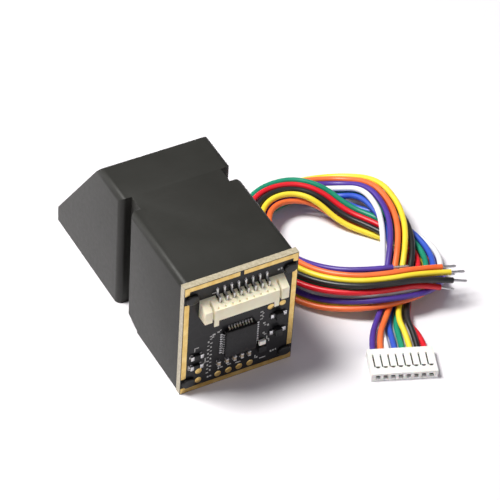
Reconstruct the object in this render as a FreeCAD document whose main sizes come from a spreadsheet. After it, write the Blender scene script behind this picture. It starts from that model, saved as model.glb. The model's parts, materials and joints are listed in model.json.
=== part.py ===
"""Optical fingerprint reader module with its loose eight-way lead, in millimetres.

Frame: +X to the right seen from the board end, +Y from the board towards the window wedge, +Z up.
The origin is the middle of the reader's footprint, on the face that it rests on.
"""
import FreeCAD
import Part
import math
import os
import re
import Sketcher  # noqa: F401  (registers the sketch object)

V = FreeCAD.Vector
doc = FreeCAD.newDocument("fingerprint_reader")

# ---------------------------------------------------------------- driving sizes
SIZES = [
    ("housing_width", 20.0), ("housing_height", 23.2), ("housing_length", 44.1),
    ("roof_length", 29.5), ("nose_height", 3.0), ("wall", 1.6), ("edge_round", 1.1),
    ("groove_start", 18.2), ("groove_width", 3.2), ("groove_depth", 2.0),
    ("relief_start", 14.2), ("relief_rise", 1.85), ("relief_step", 0.4),
    ("window_width", 14.5), ("window_length", 18.0), ("window_inset", 0.25), ("shoulder", 0.8),
    ("fit_gap", 0.1), ("gasket_thickness", 0.3),
    ("board_thickness", 1.2), ("board_overhang", 0.1), ("header_stand", 2.15),
    ("border_width", 0.85), ("border_inset", 0.1), ("plating", 0.05), ("border_gap", 0.7),
    ("stake_length", 1.85), ("stake_height", 1.4), ("stake_low", 2.2), ("stake_high", 20.6),
    ("stake_head", 0.5), ("stake_lip", 0.2), ("stake_inset", 0.4),
    ("axis_height", 13.0), ("sensor_size", 5.6), ("sensor_thickness", 0.9), ("glass_size", 4.6),
    ("glass_thickness", 0.3), ("holder_size", 9.0), ("holder_base", 3.0), ("holder_length", 8.5),
    ("holder_tube_radius", 4.0), ("barrel_radius", 3.0), ("barrel_length", 7.0),
    ("barrel_start", 2.6), ("thread_gap", 0.05), ("lens_radius", 2.3), ("lens_thickness", 1.2),
    ("ring_bore", 1.5), ("ring_thickness", 0.6), ("lens_curve", 6.0),
    ("baffle_start", 11.0), ("baffle_width", 12.4), ("baffle_height", 14.0), ("baffle_wall", 0.8),
    ("led_board_thickness", 0.8), ("led_board_width", 15.0), ("led_board_length", 9.0),
    ("led_length", 1.6), ("led_breadth", 1.2), ("led_rise", 0.7), ("led_pitch", 3.4),
    ("diffuser_thickness", 0.4), ("flex_width", 6.0), ("flex_thickness", 0.15),
    ("contact_pitch", 1.25), ("contact_count", 8), ("contact_width", 0.32),
    ("header_centre", 0.1), ("header_width", 11.5), ("header_top", 19.8), ("header_edge", 18.6),
    ("header_mouth", 16.3), ("header_roof", 0.9), ("header_face", 0.22), ("ear_width", 1.3),
    ("ear_gap", 0.4), ("foot_drop", 1.1), ("foot_width", 0.8),
    ("processor_size", 5.6), ("processor_rise", 0.95), ("lead_pitch", 0.5), ("lead_width", 0.24),
    ("lead_reach", 0.7), ("processor_x", 0.2), ("processor_z", 8.6), ("pad_radius", 0.6),
    ("plug_width", 10.9), ("plug_length", 5.7), ("plug_thickness", 1.6), ("plug_x", 25.3),
    ("plug_y", -31.4), ("plug_turn", -20.7), ("wire_diameter", 1.0), ("tip_diameter", 0.45),
    ("tip_length", 2.6),
]

sheet = doc.addObject("Spreadsheet::Sheet", "Sizes")
for row, (alias, number) in enumerate(SIZES, start=1):
    sheet.set(f"A{row}", alias)
    sheet.set(f"B{row}", str(number))
    sheet.setAlias(f"B{row}", alias)
doc.recompute()

ALIAS = re.compile(r"\b(" + "|".join(sorted((a for a, _ in SIZES), key=len, reverse=True)) + r")\b")


def formula(text):
    """Turn plain alias names into references to the sheet."""
    return ALIAS.sub(r"Sizes.\1", str(text))


def value(text):
    """Number that a formula gives now."""
    result = sheet.evalExpression(formula(text))
    return float(getattr(result, "Value", result))


def bind(obj, prop, text):
    obj.setExpression(prop, formula(text))


# places that several pieces share, as formulas in the named sizes
OPEN = "(-(housing_length+board_thickness+header_stand)/2+board_thickness+header_stand)"
FACE = f"({OPEN}-board_thickness)"
RUN = "(housing_length-roof_length)"
RISE = "(housing_height-nose_height)"
SLOPE = f"sqrt({RUN}^2+{RISE}^2)"
UY = f"({RUN}/{SLOPE})"
UZ = f"(-{RISE}/{SLOPE})"
MID_Y = "((housing_length+roof_length)/2)"
MID_Z = "((housing_height+nose_height)/2)"

nodes = []


def keep(obj, name):
    """Name a finished sub-part and put it on the list that is written out."""
    obj.Label = name
    nodes.append(obj)
    return obj


def place(obj, x, y, z):
    for key, text in zip("xyz", (x, y, z)):
        bind(obj, f".Placement.Base.{key}", text)


def block(name, x0, x1, y0, y1, z0, z1):
    """Box between six formulas."""
    box = doc.addObject("Part::Box", name)
    bind(box, "Length", f"({x1})-({x0})")
    bind(box, "Width", f"({y1})-({y0})")
    bind(box, "Height", f"({z1})-({z0})")
    place(box, x0, y0, z0)
    return box


def rod_y(name, x, y0, y1, z, radius):
    """Cylinder along +Y."""
    rod = doc.addObject("Part::Cylinder", name)
    bind(rod, "Radius", radius)
    bind(rod, "Height", f"({y1})-({y0})")
    rod.Placement = FreeCAD.Placement(V(0, 0, 0), FreeCAD.Rotation(V(1, 0, 0), -90))
    place(rod, x, y0, z)
    return rod


def fuse(name, parts):
    joined = doc.addObject("Part::MultiFuse", name)
    joined.Shapes = parts
    return joined


def cut(name, base, tool):
    left = doc.addObject("Part::Cut", name)
    left.Base = base
    left.Tool = tool
    return left


def group(name, parts):
    """Identical separate solids that share one node."""
    together = doc.addObject("Part::Compound", name)
    together.Links = parts
    return together


def plane_of(body, role):
    return next(f for f in body.Origin.OriginFeatures if f.Role == role)


def outline(body, role, name, corners):
    """Closed polygon sketch on an origin plane, each corner held by two formulas."""
    sketch = body.newObject("Sketcher::SketchObject", name)
    sketch.AttachmentSupport = [(plane_of(body, role), "")]
    sketch.MapMode = "FlatFace"
    spots = [V(value(u), value(v), 0) for u, v in corners]
    count = len(spots)
    for k in range(count):
        sketch.addGeometry(Part.LineSegment(spots[k], spots[(k + 1) % count]), False)
    for k in range(count):
        sketch.addConstraint(Sketcher.Constraint("Coincident", k, 2, (k + 1) % count, 1))
    for k, (u, v) in enumerate(corners):
        for kind, axis, text in (("DistanceX", -2, u), ("DistanceY", -1, v)):
            if str(text) == "0":
                sketch.addConstraint(Sketcher.Constraint("PointOnObject", k, 1, axis))
            else:
                index = sketch.addConstraint(Sketcher.Constraint(kind, -1, 1, k, 1, value(text)))
                bind(sketch, f"Constraints[{index}]", text)
    return sketch


def pad(body, sketch, name, length):
    """Extrusion both ways from the sketch plane."""
    feature = body.newObject("PartDesign::Pad", name)
    feature.Profile = sketch
    bind(feature, "Length", length)
    feature.Midplane = True
    return feature


def pocket(body, sketch, name, length):
    """Cut both ways from the sketch plane; it must take material away."""
    doc.recompute()
    before = body.Shape.Volume
    feature = body.newObject("PartDesign::Pocket", name)
    feature.Profile = sketch
    bind(feature, "Length", length)
    feature.Midplane = True
    doc.recompute()
    if body.Shape.Volume > before - 0.01:
        raise RuntimeError(f"{name} cuts nothing")
    return feature


def rounded(body, name, radius, chosen):
    """Fillet the edges of the body's tip that a test on their two ends picks."""
    doc.recompute()
    tip = body.Tip
    names = []
    for k, edge in enumerate(tip.Shape.Edges, start=1):
        ends = [v.Point for v in edge.Vertexes]
        if len(ends) == 2 and chosen(*ends):
            names.append(f"Edge{k}")
    feature = body.newObject("PartDesign::Fillet", name)
    feature.Base = (tip, names)
    bind(feature, "Radius", radius)
    return feature


def new_body(name, y=OPEN):
    body = doc.addObject("PartDesign::Body", name)
    place(body, "0", y, "0")
    return body


def near(a, b):
    return abs(a - b) < 1e-4


# ---------------------------------------------------------------- housing
SLOT_FLOOR = "(wall+relief_rise)"
NECK_END = "(groove_start+groove_width+wall)"
NECK_START = "(groove_start-wall)"


def inner_slope(distance, height):
    """Y of the line a given distance under the window face, at a given height."""
    return f"({MID_Y}+{UZ}*({distance})+({MID_Z}-{UY}*({distance})-({height}))*{RUN}/{RISE})"


def make_housing():
    body = new_body("housing_shell")
    side = outline(body, "YZ_Plane", "side_view", [
        ("0", "0"), ("housing_length", "0"), ("housing_length", "nose_height"),
        ("roof_length", "housing_height"), ("0", "housing_height")])
    pad(body, side, "block", "housing_width")

    half, high = value("housing_width/2"), value("housing_height")
    rear, front = value("groove_start"), value("groove_start+groove_width")
    for sign, word in ((1, "right"), (-1, "left")):
        inner = f"{sign}*(housing_width/2-groove_depth)"
        outer = f"{sign}*(housing_width/2+wall)"
        ends = (inner, outer) if sign > 0 else (outer, inner)
        groove = outline(body, "XY_Plane", f"groove_{word}", [
            (ends[0], "groove_start"), (ends[1], "groove_start"),
            (ends[1], "groove_start+groove_width"), (ends[0], "groove_start+groove_width")])
        pocket(body, groove, f"side_groove_{word}", "2*housing_height+2*wall")
    rounded(body, "outer_edges", "edge_round", lambda p, q: near(abs(p.x), half)
            and near(p.x, q.x) and (near(p.y, q.y) and (near(p.y, rear) or near(p.y, front))
                                    or near(p.z, high) and near(q.z, high)))
    relief = outline(body, "YZ_Plane", "underside", [
        ("relief_start", "0"), ("relief_start", "relief_step"),
        ("groove_start", "relief_rise"), ("groove_start", "0")])
    pocket(body, relief, "underside_relief", "housing_width*2")

    inside = outline(body, "YZ_Plane", "rear_room", [
        ("0", "wall"), ("relief_start-wall", "wall"), ("relief_start-wall", SLOT_FLOOR),
        (NECK_START, SLOT_FLOOR), (NECK_START, "housing_height-wall"),
        ("0", "housing_height-wall")])
    pocket(body, inside, "board_chamber", "housing_width-2*wall")
    neck = outline(body, "YZ_Plane", "neck_room", [
        (f"{NECK_START}-wall/2", SLOT_FLOOR), (f"{NECK_END}+wall/2", SLOT_FLOOR),
        (f"{NECK_END}+wall/2", "housing_height-wall"),
        (f"{NECK_START}-wall/2", "housing_height-wall")])
    pocket(body, neck, "neck", "housing_width-2*groove_depth-2*wall")
    top = "housing_height-wall"
    nose = f"({MID_Z}-{UY}*wall-(housing_length-wall-({MID_Y}+{UZ}*wall))*{RISE}/{RUN})"
    wedge = outline(body, "YZ_Plane", "wedge_room", [
        (NECK_END, "wall"), ("housing_length-wall", "wall"), ("housing_length-wall", nose),
        (inner_slope("wall", top), top), (NECK_END, top)])
    pocket(body, wedge, "optics_chamber", "housing_width-2*wall")

    window = tilted("window_opening", "window_width", "window_length", "-2*wall", "2*wall")
    shell = cut("housing_with_window", body, window)
    posts = []
    for side_name, sign in (("left", -1), ("right", 1)):
        for level in ("low", "high"):
            x_in = f"{sign}*(housing_width/2-stake_inset-stake_length)"
            x_out = f"{sign}*(housing_width/2-stake_inset)"
            x0, x1 = (x_in, x_out) if sign > 0 else (x_out, x_in)
            posts.append(block(f"post_{side_name}_{level}", x0, x1, FACE, f"{OPEN}+wall",
                               f"stake_{level}-stake_height/2", f"stake_{level}+stake_height/2"))
    keep(fuse("housing_moulding", [shell] + posts), "housing")


def tilted(name, width, length, low, high):
    """Box centred on the window face, square to it, between two depths along its normal."""
    box = doc.addObject("Part::Box", name)
    bind(box, "Length", width)
    bind(box, "Width", length)
    bind(box, "Height", f"({high})-({low})")
    angle = math.degrees(math.atan2(-value(RISE), value(RUN)))
    box.Placement = FreeCAD.Placement(V(0, 0, 0), FreeCAD.Rotation(V(1, 0, 0), angle))
    bind(box, ".Placement.Rotation.Angle", f"-atan({RISE}/{RUN})")
    place(box, f"-({width})/2",
          f"{OPEN}+{MID_Y}-{UY}*({length})/2-{UZ}*({low})",
          f"{MID_Z}-{UZ}*({length})/2+{UY}*({low})")
    return box


def make_stake_heads():
    heads = []
    for sign in (-1, 1):
        for level in ("low", "high"):
            x_in = f"{sign}*(housing_width/2-stake_inset-stake_length-stake_lip)"
            x_out = f"{sign}*(housing_width/2-stake_inset+stake_lip)"
            x0, x1 = (x_in, x_out) if sign > 0 else (x_out, x_in)
            heads.append(block(f"melted_head_{len(heads)}", x0, x1, f"{FACE}-stake_head", FACE,
                               f"stake_{level}-stake_height/2-stake_lip",
                               f"stake_{level}+stake_height/2+stake_lip"))
    keep(group("melted_heads", heads), "stake_heads")


# ---------------------------------------------------------------- window optics
SEAT = "(wall+gasket_thickness)"
HALF_FOOT = "(window_length/2+shoulder)"
PRISM_TOP = f"({MID_Z}-{UY}*{SEAT}-{UZ}*{HALF_FOOT})"
PRISM_LOW = f"({MID_Z}-{UY}*{SEAT}+{UZ}*{HALF_FOOT})"
PRISM_REAR = f"({MID_Y}+{UZ}*{SEAT}-{UY}*{HALF_FOOT})"
PRISM_FRONT = f"({MID_Y}+{UZ}*{SEAT}+{UY}*{HALF_FOOT})"


def make_prism():
    body = new_body("prism_wedge")
    side = outline(body, "YZ_Plane", "prism_side", [
        (PRISM_REAR, PRISM_LOW), (PRISM_FRONT, PRISM_LOW), (PRISM_REAR, PRISM_TOP)])
    pad(body, side, "prism_block", "window_width+2*shoulder")
    plateau = tilted("prism_plateau", "window_width-2*fit_gap", "window_length-2*fit_gap",
                     f"-{SEAT}-fit_gap", "-window_inset")
    keep(fuse("prism_glass", [body, plateau]), "prism")


def make_gasket():
    frame = tilted("gasket_sheet", "window_width+2*shoulder", "window_length+2*shoulder",
                   f"-{SEAT}", "-wall")
    hole = tilted("gasket_hole", "window_width+2*fit_gap", "window_length+2*fit_gap",
                  "-3*wall", "wall")
    keep(cut("gasket_frame", frame, hole), "prism_gasket")


def make_light_source():
    deck = "wall+led_board_thickness"
    rear = f"{OPEN}+{PRISM_REAR}+wall"
    keep(block("led_plate", "-led_board_width/2", "led_board_width/2", rear,
               f"{rear}+led_board_length", "wall", deck), "led_board")
    lamps = []
    for k in range(4):
        x = f"({k}-1.5)*led_pitch"
        y = f"{rear}+led_board_length/2"
        lamps.append(block(f"lamp_{k}", f"{x}-led_length/2", f"{x}+led_length/2",
                           f"{y}-led_breadth/2", f"{y}+led_breadth/2", deck, f"{deck}+led_rise"))
    keep(group("lamps", lamps), "illumination_leds")
    low = f"{PRISM_LOW}-diffuser_thickness"
    front = f"min({rear}+led_board_length;{OPEN}+{inner_slope('wall', PRISM_LOW)}-fit_gap)"
    keep(block("diffuser_sheet", "-led_board_width/2+wall", "led_board_width/2-wall", rear,
               front, low, PRISM_LOW), "light_diffuser")
    rails = []
    for sign in (-1, 1):
        inner = f"{sign}*(led_board_width/2+fit_gap)"
        outer = f"{sign}*(housing_width/2-wall-fit_gap)"
        x0, x1 = (inner, outer) if sign > 0 else (outer, inner)
        rails.append(block(f"rail_{sign + 1}", x0, x1, f"{rear}-wall", front, "wall", PRISM_LOW))
    rails.append(block("rail_tie", "-housing_width/2+wall+fit_gap", "housing_width/2-wall-fit_gap",
                       f"{rear}-wall", f"{rear}-fit_gap", f"{deck}+flex_thickness+fit_gap",
                       PRISM_LOW))
    keep(fuse("rails", rails), "prism_cradle")


def make_flex():
    """Flat lead from the lamp board to the main board, along the floor of the housing."""
    deck = "wall+led_board_thickness"
    step = f"{SLOT_FLOOR}+flex_thickness"
    rear = f"{PRISM_REAR}+wall"
    under = [(f"{rear}+wall", deck), (f"{NECK_END}+wall", deck), (NECK_END, step),
             ("relief_start-wall", step), ("relief_start-3*wall", deck), ("2*wall", deck)]
    over = [(y, f"({z})+flex_thickness") for y, z in reversed(under)]
    body = new_body("flex_strip")
    pad(body, outline(body, "YZ_Plane", "flex_side", under + over), "flex_width", "flex_width")
    keep(body, "led_flex")
    keep(block("flex_socket", "-flex_width/2-wall/2", "flex_width/2+wall/2", OPEN,
               f"{OPEN}+2*wall", f"{deck}-wall/4", f"{deck}+wall*3/4"), "flex_connector")


def make_baffle():
    low = "axis_height-baffle_height/2"
    high = "axis_height+baffle_height/2"
    start = f"{OPEN}+baffle_start"
    end = f"{OPEN}+{PRISM_REAR}-fit_gap"
    outer = block("baffle_outer", "-baffle_width/2", "baffle_width/2", start, end, low, high)
    inner = block("baffle_inner", "-baffle_width/2+baffle_wall", "baffle_width/2-baffle_wall",
                  f"{start}-wall", f"{end}+wall", f"{low}+baffle_wall", f"{high}-baffle_wall")
    keep(cut("baffle_tube", outer, inner), "light_baffle")


# ---------------------------------------------------------------- lens and sensor
def make_sensor():
    keep(block("sensor_package", "-sensor_size/2", "sensor_size/2", OPEN,
               f"{OPEN}+sensor_thickness", "axis_height-sensor_size/2",
               "axis_height+sensor_size/2"), "image_sensor")
    keep(block("sensor_window", "-glass_size/2", "glass_size/2", f"{OPEN}+sensor_thickness",
               f"{OPEN}+sensor_thickness+glass_thickness", "axis_height-glass_size/2",
               "axis_height+glass_size/2"), "sensor_glass")


def make_lens_holder():
    base = block("holder_foot", "-holder_size/2", "holder_size/2", OPEN, f"{OPEN}+holder_base",
                 "axis_height-holder_size/2", "axis_height+holder_size/2")
    tube = rod_y("holder_tube", "0", f"{OPEN}+holder_base/2", f"{OPEN}+holder_length",
                 "axis_height", "holder_tube_radius")
    room = "sensor_size/2+fit_gap"
    well_end = f"{OPEN}+sensor_thickness+glass_thickness+fit_gap"
    well = block("sensor_well", f"-({room})", room, f"{OPEN}-wall", well_end,
                 f"axis_height-({room})", f"axis_height+({room})")
    aperture = rod_y("light_hole", "0", OPEN, f"{OPEN}+barrel_start", "axis_height", "lens_radius")
    bore = rod_y("barrel_bore", "0", f"{OPEN}+barrel_start-thread_gap",
                 f"{OPEN}+holder_length+wall", "axis_height", "barrel_radius+thread_gap")
    keep(cut("holder", fuse("holder_solid", [base, tube]),
             fuse("holder_hollow", [well, aperture, bore])), "lens_holder")
    keep(rod_y("filter_disc", "0", f"{OPEN}+barrel_start-thread_gap-glass_thickness*2",
               f"{OPEN}+barrel_start-thread_gap-glass_thickness", "axis_height",
               "lens_radius-thread_gap"), "infrared_filter")


def make_barrel():
    start = f"{OPEN}+barrel_start+thread_gap"
    end = f"{start}+barrel_length"
    skin = rod_y("barrel_skin", "0", start, end, "axis_height", "barrel_radius")
    bore = rod_y("barrel_light", "0", f"{start}-wall", f"{end}+wall", "axis_height",
                 "lens_radius-fit_gap*3")
    front = rod_y("front_seat", "0", f"{end}-lens_thickness-ring_thickness", f"{end}+wall",
                  "axis_height", "lens_radius+thread_gap")
    rear = rod_y("rear_seat", "0", f"{start}-wall", f"{start}+lens_thickness", "axis_height",
                 "lens_radius+thread_gap")
    keep(cut("barrel", skin, fuse("barrel_hollow", [bore, front, rear])), "lens_barrel")
    ring = rod_y("ring_disc", "0", f"{end}-ring_thickness", end, "axis_height", "lens_radius")
    hole = rod_y("ring_hole", "0", f"{end}-wall", f"{end}+wall", "axis_height", "ring_bore")
    keep(cut("ring", ring, hole), "lens_ring")
    lens("front_lens", f"{end}-lens_thickness-ring_thickness", 1)
    lens("rear_lens", start, -1)


def lens(name, start, way):
    """Plano-convex element whose crown faces +Y or -Y inside its own thickness."""
    disc = rod_y(f"{name}_disc", "0", start, f"{start}+lens_thickness", "axis_height",
                 "lens_radius")
    ball = doc.addObject("Part::Sphere", f"{name}_ball")
    bind(ball, "Radius", "lens_curve")
    centre = f"{start}+lens_thickness-lens_curve" if way > 0 else f"{start}+lens_curve"
    place(ball, "0", centre, "axis_height")
    common = doc.addObject("Part::Common", f"{name}_glass")
    common.Base = disc
    common.Tool = ball
    keep(common, name)


# ---------------------------------------------------------------- main board
def stake_slots(name, y0, y1, margin, outer):
    """Openings round the moulded posts with a margin, out to a given distance from the middle."""
    tools = []
    for sign in (-1, 1):
        for level in ("low", "high"):
            x_in = f"{sign}*(housing_width/2-stake_inset-stake_length-({margin}))"
            x_out = f"{sign}*({outer})"
            x0, x1 = (x_in, x_out) if sign > 0 else (x_out, x_in)
            tools.append(block(f"{name}_{len(tools)}", x0, x1, y0, y1,
                               f"stake_{level}-stake_height/2-({margin})",
                               f"stake_{level}+stake_height/2+({margin})"))
    return fuse(name, tools)


def make_board():
    plate = block("board_plate", "-housing_width/2-board_overhang",
                  "housing_width/2+board_overhang", FACE, OPEN, "0",
                  "housing_height+board_overhang")
    slots = stake_slots("board_slots", f"{FACE}-wall", f"{OPEN}+wall", "fit_gap",
                        "housing_width/2-stake_inset+fit_gap")
    keep(cut("board", plate, slots), "main_board")

    edge = "border_inset"
    inner = "border_inset+border_width"
    half = "housing_width/2+board_overhang"
    top = "housing_height+board_overhang"
    outer_ring = block("border_outer", f"-({half})+{edge}", f"{half}-({edge})",
                       f"{FACE}-plating", FACE, edge, f"{top}-({edge})")
    hole = block("border_hole", f"-({half})+{inner}", f"{half}-({inner})", f"{FACE}-wall",
                 f"{FACE}+wall", inner, f"{top}-({inner})")
    gap = block("border_break", "-border_gap/2", "border_gap/2", f"{FACE}-wall", f"{FACE}+wall",
                f"{top}-2*({inner})", f"{top}+wall")
    breaks = stake_slots("border_breaks", f"{FACE}-wall", f"{FACE}+wall", "stake_lip+fit_gap",
                         "housing_width/2+wall")
    keep(cut("border", outer_ring, fuse("border_tools", [hole, gap, breaks])), "gold_border")

    spots = [(-6.85, 3.95), (-6.85, 1.95), (-3.3, 1.85), (-1.35, 1.85), (0.55, 1.85), (2.5, 1.85),
             (5.7, 13.1), (7.8, 13.1)]
    pads = [rod_y(f"pad_{k}", x, f"{FACE}-plating", FACE, z, "pad_radius")
            for k, (x, z) in enumerate(spots)]
    keep(group("pads", pads), "test_pads")


def on_face(name, x, z, width, height, rise, lift="0"):
    """Chip-like block standing out of the board's outer face, centred on x and z."""
    return block(name, f"{x}-({width})/2", f"{x}+({width})/2", f"{FACE}-({rise})",
                 f"{FACE}-({lift})", f"{z}-({height})/2", f"{z}+({height})/2")


def behind(name, x, z, width, height, rise):
    """Chip-like block on the board's inner face."""
    return block(name, f"{x}-({width})/2", f"{x}+({width})/2", OPEN, f"{OPEN}+({rise})",
                 f"{z}-({height})/2", f"{z}+({height})/2")


def make_processor():
    keep(on_face("processor_block", "processor_x", "processor_z", "processor_size",
                 "processor_size", "processor_rise", "plating"), "processor")
    leads = []
    reach = "(processor_size+lead_reach)/2"
    for k in range(9):
        along = f"({k}-4)*lead_pitch"
        for sign in (-1, 1):
            leads.append(on_face(f"lead_v{len(leads)}", f"processor_x+{along}",
                                 f"processor_z+{sign}*{reach}", "lead_width", "lead_reach",
                                 "lead_width*1.5"))
            leads.append(on_face(f"lead_h{len(leads)}", f"processor_x+{sign}*{reach}",
                                 f"processor_z+{along}", "lead_reach", "lead_width",
                                 "lead_width*1.5"))
    keep(group("leads", leads), "processor_leads")


def make_small_parts():
    """Passives and small semiconductors: centres and sizes as laid out on the board."""
    cores, ends = [], []
    for k, z in enumerate((11.0, 7.4)):
        cores.append(on_face(f"diode_{k}", 7.1, z, 1.3, 1.5, 0.9))
        for sign in (-1, 1):
            ends.append(on_face(f"diode_end_{k}_{sign + 1}", 7.1 + sign * 1.05, z, 0.8, 0.9, 0.35))
    keep(group("diode_cores", cores), "diodes")
    keep(group("diode_ends", ends), "diode_terminals")
    keep(on_face("led_chip", 4.35, 6.0, 1.2, 0.9, 0.6), "status_led")
    keep(on_face("transistor_chip", 4.3, 4.8, 1.4, 1.2, 0.9), "transistor")

    terminals, resistors, capacitors = [], [], []
    for k, z in enumerate((7.6, 5.4)):
        resistors.append(on_face(f"resistor_{k}", -7.4, z, 1.1, 0.8, 0.45))
        for sign in (-1, 1):
            terminals.append(on_face(f"resistor_end_{k}_{sign + 1}", -7.4 + sign * 0.85, z,
                                     0.6, 0.85, 0.5))
    for k, x in enumerate((-3.4, -1.9, -0.5, 0.8, 2.1)):
        capacitors.append(on_face(f"capacitor_{k}", x, 4.5, 0.5, 0.5, 0.5))
        for sign in (-1, 1):
            terminals.append(on_face(f"capacitor_end_{k}_{sign + 1}", x, 4.5 + sign * 0.375,
                                     0.55, 0.25, 0.55))
    keep(group("resistor_cores", resistors), "resistors")
    keep(group("capacitor_cores", capacitors), "capacitors")
    keep(group("terminal_caps", terminals), "chip_terminals")

    keep(behind("memory_block", -4.6, 19.6, 4.0, 3.0, 0.8), "memory_chip")
    keep(behind("crystal_can", 4.4, 19.6, 3.2, 2.5, 0.8), "crystal")
    keep(behind("regulator_block", 6.6, 12.0, 1.6, 2.9, 1.0), "voltage_regulator")


# ---------------------------------------------------------------- header on the board
def contact_x(k):
    return f"(header_centre+({k}-(contact_count-1)/2)*contact_pitch)"


SHOULDER_LOW = f"({FACE}-1.15)"
SHOULDER_HIGH = f"({FACE}-0.9)"


def header_contact(k):
    """Foot soldered to the board, riser, and a flat pin that runs down into the mouth."""
    x0, x1 = f"{contact_x(k)}-contact_width/2", f"{contact_x(k)}+contact_width/2"
    foot = block(f"contact_foot_{k}", x0, x1, f"{FACE}-0.2", FACE, "header_top+0.35",
                 "header_top+1.5")
    riser = block(f"contact_riser_{k}", x0, x1, SHOULDER_LOW, f"{FACE}-0.05",
                  "header_top+0.15", "header_top+0.4")
    pin = block(f"contact_pin_{k}", x0, x1, SHOULDER_LOW, SHOULDER_HIGH, "header_mouth+0.3",
                "header_top+0.3")
    return fuse(f"contact_{k}", [foot, riser, pin])


def make_header():
    count = int(value("contact_count"))
    contacts = [header_contact(k) for k in range(count)]
    contact_group = group("contacts", contacts)

    width = "header_width"
    front = f"({FACE}-header_stand)"
    body = new_body("header_block", FACE)
    place(body, "header_centre", FACE, "0")
    side = outline(body, "YZ_Plane", "header_side", [
        ("0", "header_mouth"), ("0", "header_top"), ("-header_stand", "header_edge"),
        ("-header_stand", "header_mouth")])
    ears_full = f"{width}+2*ear_gap+2*ear_width"
    pad(body, side, "header_bar", ears_full)

    tools = []
    for sign in (-1, 1):
        a = f"header_centre+{sign}*({width}/2)"
        b = f"header_centre+{sign}*({width}/2+ear_gap)"
        x0, x1 = (a, b) if sign > 0 else (b, a)
        tools.append(block(f"ear_slot_{sign + 1}", x0, x1, f"{front}-wall", f"{FACE}-0.5",
                           "header_mouth-wall", "header_top+wall"))
    mouth = "plug_width/2+fit_gap/2"
    inner = f"({front}+header_face)"
    tools.append(block("header_mouth_room", f"header_centre-({mouth})", f"header_centre+{mouth}",
                       inner, f"{inner}+plug_thickness+fit_gap", "header_mouth-wall",
                       "header_edge-header_roof"))
    for k in range(count):
        tools.append(block(f"notch_{k}", f"{contact_x(k)}-contact_width*0.9",
                           f"{contact_x(k)}+contact_width*0.9", f"{FACE}-1.15", f"{FACE}+wall",
                           "header_top-0.75", "header_top+wall"))
    for k in range(count + 1):
        x = f"header_centre+({k}-contact_count/2)*contact_pitch"
        pit = doc.addObject("Part::Cylinder", f"core_pit_{k}")
        bind(pit, "Radius", "0.16")
        bind(pit, "Height", "0.8")
        place(pit, x, f"{front}+0.3", "header_edge-0.25")
        tools.append(pit)
    tools.append(contact_group)
    shell = cut("header_shell", body, fuse("header_tools", tools))
    feet = []
    for sign in (-1, 1):
        a = f"header_centre+{sign}*({width}/2)"
        b = f"header_centre+{sign}*({width}/2-foot_width)"
        x0, x1 = (b, a) if sign > 0 else (a, b)
        feet.append(block(f"mouth_foot_{sign + 1}", x0, x1, front, f"{front}+header_face",
                          "header_mouth-foot_drop", "header_mouth+fit_gap"))
    keep(fuse("header_moulding", [shell] + feet), "header_body")
    copy = group("contacts_out", contacts)
    keep(copy, "header_contacts")

    tabs = []
    for sign in (-1, 1):
        a = f"header_centre+{sign}*({width}/2+fit_gap/2)"
        b = f"header_centre+{sign}*({width}/2+ear_gap-fit_gap/2)"
        x0, x1 = (a, b) if sign > 0 else (b, a)
        tabs.append(block(f"solder_tab_{sign + 1}", x0, x1, f"{FACE}-1.4", f"{FACE}-0.5",
                          "header_mouth+0.2", "header_edge"))
    keep(group("solder_tabs", tabs), "header_tabs")


# ---------------------------------------------------------------- loose lead: plug and eight wires
PLUG_ROW = ("violet", "orange", "white", "blue", "green", "yellow", "black", "red")
BUNDLE_ORDER = ("violet", "orange", "yellow", "black", "red", "green", "blue", "white")
LAYER_RISE = 1.28
PLUG_DEPTH_IN = 0.8

# where the ribbon of wires goes: x, y, height of its lower layer, and how far it has twisted
STATIONS = (
    (30.2, -21.4, 0.5, 0.0), (32.6, -17.6, 0.5, 0.0), (34.4, -13.8, 0.7, 0.1),
    (36.8, -10.0, 2.4, 0.4), (39.0, -5.4, 3.1, 0.7), (40.2, -0.2, 3.1, 1.0),
    (39.9, 5.6, 2.8, 1.2), (36.8, 10.0, 0.6, 1.4), (31.4, 12.0, 0.5, 1.6),
    (25.4, 12.4, 0.5, 1.8), (19.6, 10.4, 0.5, 2.0), (16.0, 5.4, 0.5, 2.1),
    (15.4, -0.6, 0.5, 2.2), (16.8, -6.4, 0.5, 2.4), (19.8, -12.0, 0.5, 2.6),
    (24.4, -16.4, 2.0, 2.8), (30.0, -19.0, 3.0, 3.0), (35.6, -19.5, 3.1, 3.3),
    (40.2, -16.0, 0.9, 3.7), (41.5, -10.8, 0.5, 4.3), (40.4, -5.2, 0.5, 4.8),
    (37.6, -0.8, 0.5, 5.2), (34.2, 3.2, 0.6, 5.6), (31.0, 7.6, 3.0, 5.9),
    (27.0, 10.6, 3.1, 6.2), (21.8, 10.2, 3.1, 6.5), (18.2, 6.4, 3.1, 6.8),
    (16.9, 1.0, 3.1, 7.1), (17.2, -5.4, 3.3, 7.4), (20.0, -11.6, 4.2, 7.7),
    (24.8, -16.0, 5.1, 7.9), (30.0, -18.0, 5.5, 8.0), (34.8, -18.9, 5.5, 8.0),
)
# first places out of the plug: sideways, ahead of its rear face, height
FAN = {
    "violet": ((-4.2, 3.0, 1.0), (-2.5, 7.0, 1.6)), "orange": ((-2.95, 3.0, 1.4), (-1.1, 7.0, 1.8)),
    "white": ((-1.95, 3.0, 0.6), (-2.1, 7.0, 0.5)), "blue": ((-0.65, 3.0, 0.6), (-0.8, 7.0, 0.5)),
    "green": ((0.55, 3.0, 0.6), (0.5, 7.0, 0.5)), "yellow": ((1.7, 3.0, 1.35), (0.7, 7.0, 1.75)),
    "black": ((2.95, 3.0, 1.4), (2.1, 7.0, 1.8)), "red": ((4.2, 3.0, 0.65), (2.3, 7.0, 0.5)),
}
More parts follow.
